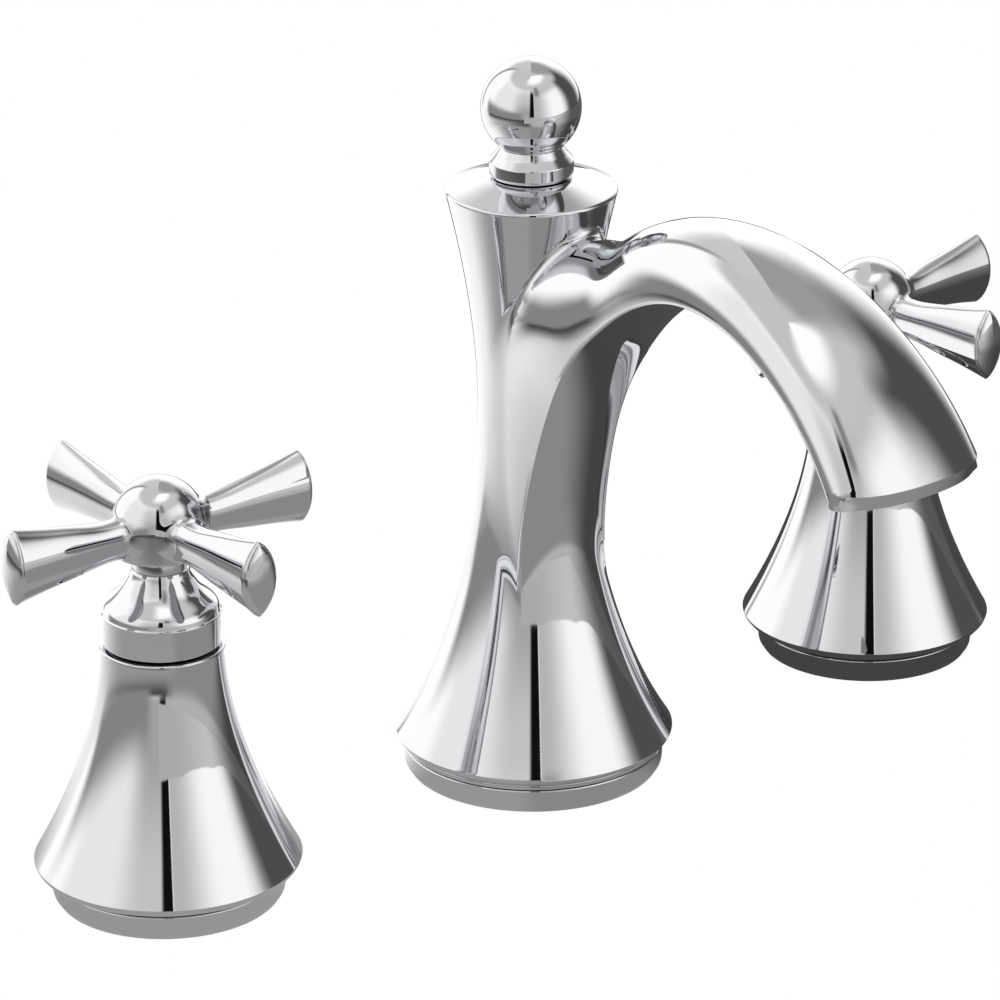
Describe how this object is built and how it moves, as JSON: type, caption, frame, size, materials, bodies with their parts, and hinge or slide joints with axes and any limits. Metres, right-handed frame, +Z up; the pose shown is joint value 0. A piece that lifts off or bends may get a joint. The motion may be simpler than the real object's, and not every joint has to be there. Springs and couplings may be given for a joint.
{
  "type": "widespread bathroom faucet",
  "caption": "Widespread bathroom sink faucet: arched spout on a turned hourglass column with a lift rod, and separate hot and cold cross handles on flared bells.",
  "frame": {"origin": "on the deck's top surface, on the axis of the spout's column", "axes": "+Z up, +X towards the cold handle, -Y towards the user, where the spout reaches"},
  "size_m": [0.278, 0.1625, 0.244],
  "materials": {
    "chrome_plate": "mirror-polished chrome plate",
    "brass": "machined brass",
    "stainless_steel": "machined stainless steel",
    "black_rubber": "moulded rubber",
    "white_nylon": "moulded nylon",
    "dark_plastic": "moulded plastic",
    "ceramic": "lapped ceramic"
  },
  "bodies": {
    "root": {"aerator_gasket": "black_rubber", "aerator_housing": "chrome_plate", "aerator_insert": "dark_plastic", "cold_base_gasket": "black_rubber", "cold_base_ring": "chrome_plate", "cold_bonnet_nut": "brass", "cold_cartridge_housing": "white_nylon", "cold_cartridge_seal": "black_rubber", "cold_escutcheon": "chrome_plate", "cold_fixed_disc": "ceramic", "cold_glide_ring": "white_nylon", "cold_mounting_nut": "brass", "cold_rubber_washer": "black_rubber", "cold_steel_washer": "stainless_steel", "cold_valve_body": "brass", "hot_base_gasket": "black_rubber", "hot_base_ring": "chrome_plate", "hot_bonnet_nut": "brass", "hot_cartridge_housing": "white_nylon", "hot_cartridge_seal": "black_rubber", "hot_escutcheon": "chrome_plate", "hot_fixed_disc": "ceramic", "hot_glide_ring": "white_nylon", "hot_mounting_nut": "brass", "hot_rubber_washer": "black_rubber", "hot_steel_washer": "stainless_steel", "hot_valve_body": "brass", "inlet_tee": "brass", "lift_rod_guide": "white_nylon", "spout_base_gasket": "black_rubber", "spout_base_ring": "chrome_plate", "spout_body": "chrome_plate", "spout_grub_screw": "stainless_steel", "spout_mounting_nut": "brass", "spout_rubber_washer": "black_rubber", "spout_shank": "brass", "spout_steel_washer": "stainless_steel", "tube_seal": "black_rubber", "water_tube": "brass"},
    "hot_handle": {"hot_cross_handle": "chrome_plate", "hot_handle_skirt": "chrome_plate", "hot_set_screw": "stainless_steel", "hot_handle_screw": "stainless_steel", "hot_stem_adapter": "brass", "hot_cartridge_stem": "brass", "hot_rotating_disc": "ceramic"},
    "cold_handle": {"cold_cross_handle": "chrome_plate", "cold_handle_skirt": "chrome_plate", "cold_set_screw": "stainless_steel", "cold_handle_screw": "stainless_steel", "cold_stem_adapter": "brass", "cold_cartridge_stem": "brass", "cold_rotating_disc": "ceramic"},
    "lift": {"lift_knob": "chrome_plate", "lift_rod": "stainless_steel"}
  },
  "joints": [
    {"name": "hot_turn", "type": "hinge", "parent": "root", "child": "hot_handle", "pos_m": [-0.1016, 0, 0.0835], "axis": [0, 0, 1], "range_deg": [0, 90]},
    {"name": "cold_turn", "type": "hinge", "parent": "root", "child": "cold_handle", "pos_m": [0.1016, 0, 0.0835], "axis": [0, 0, 1], "range_deg": [-90, 0]},
    {"name": "knob_lift", "type": "slide", "parent": "root", "child": "lift", "axis": [0, 0, 1], "range_m": [0, 0.03]}
  ]
}
